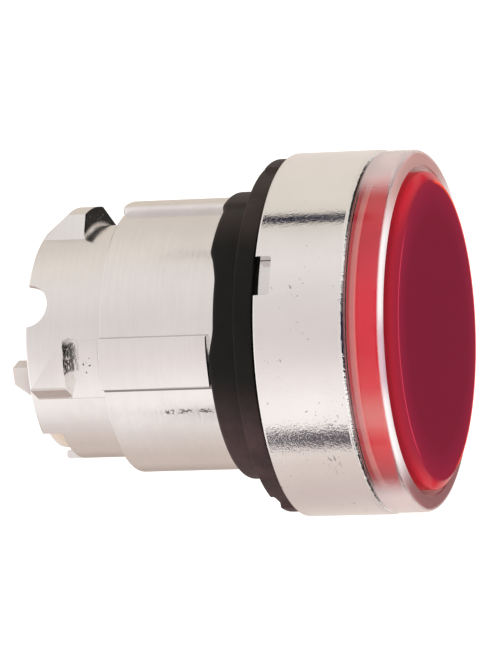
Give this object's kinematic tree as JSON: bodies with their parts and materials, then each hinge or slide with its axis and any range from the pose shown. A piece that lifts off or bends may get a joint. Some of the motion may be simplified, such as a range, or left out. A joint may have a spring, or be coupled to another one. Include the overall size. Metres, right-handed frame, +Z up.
{
  "type": "illuminated push button head",
  "caption": "Round chrome push button head with a red lens in a clear collar, a panel gasket, and a cast barrel with bayonet lugs and a spring-return plunger.",
  "frame": {"origin": "on the button's axis, in the plane of the panel's front face, where the gasket's rear face sits", "axes": "-Y is the way the lens faces, +Y runs back along the barrel through the panel, +Z is up at 12 o'clock, where the top rib is"},
  "size_m": [0.029, 0.0329, 0.029],
  "materials": {
    "cast_metal": "satin chrome plate on a zinc casting",
    "chrome": "bright chrome plate with fine scratches",
    "black_rubber": "matt moulded elastomer",
    "grey_rubber": "matt elastomer",
    "clear_plastic": "clear polished plastic",
    "frosted_plastic": "frosted translucent plastic",
    "red_plastic": "red translucent polished plastic",
    "cream_plastic": "cream moulded plastic",
    "white_plastic": "off-white moulded plastic",
    "spring_steel": "drawn steel wire"
  },
  "bodies": {
    "head": {"barrel_body": "cast_metal", "bezel_ring": "chrome", "panel_gasket": "black_rubber", "guard_collar": "clear_plastic", "collar_seal": "grey_rubber", "lip_seal": "grey_rubber", "seal_clamp_ring": "white_plastic", "guide_bush": "white_plastic", "spring_washer": "spring_steel", "return_spring": "spring_steel"},
    "button": {"lens_cap": "red_plastic", "lens_seal": "grey_rubber", "diffuser_disc": "frosted_plastic", "lens_holder": "white_plastic", "plunger": "cream_plastic"}
  },
  "joints": [
    {"name": "button_press", "type": "slide", "parent": "head", "child": "button", "axis": [0, 1, 0], "range_m": [0, 0.0043], "stiffness_N_per_m": 400, "springref_m": -0.007, "deforming": ["return_spring"]}
  ]
}
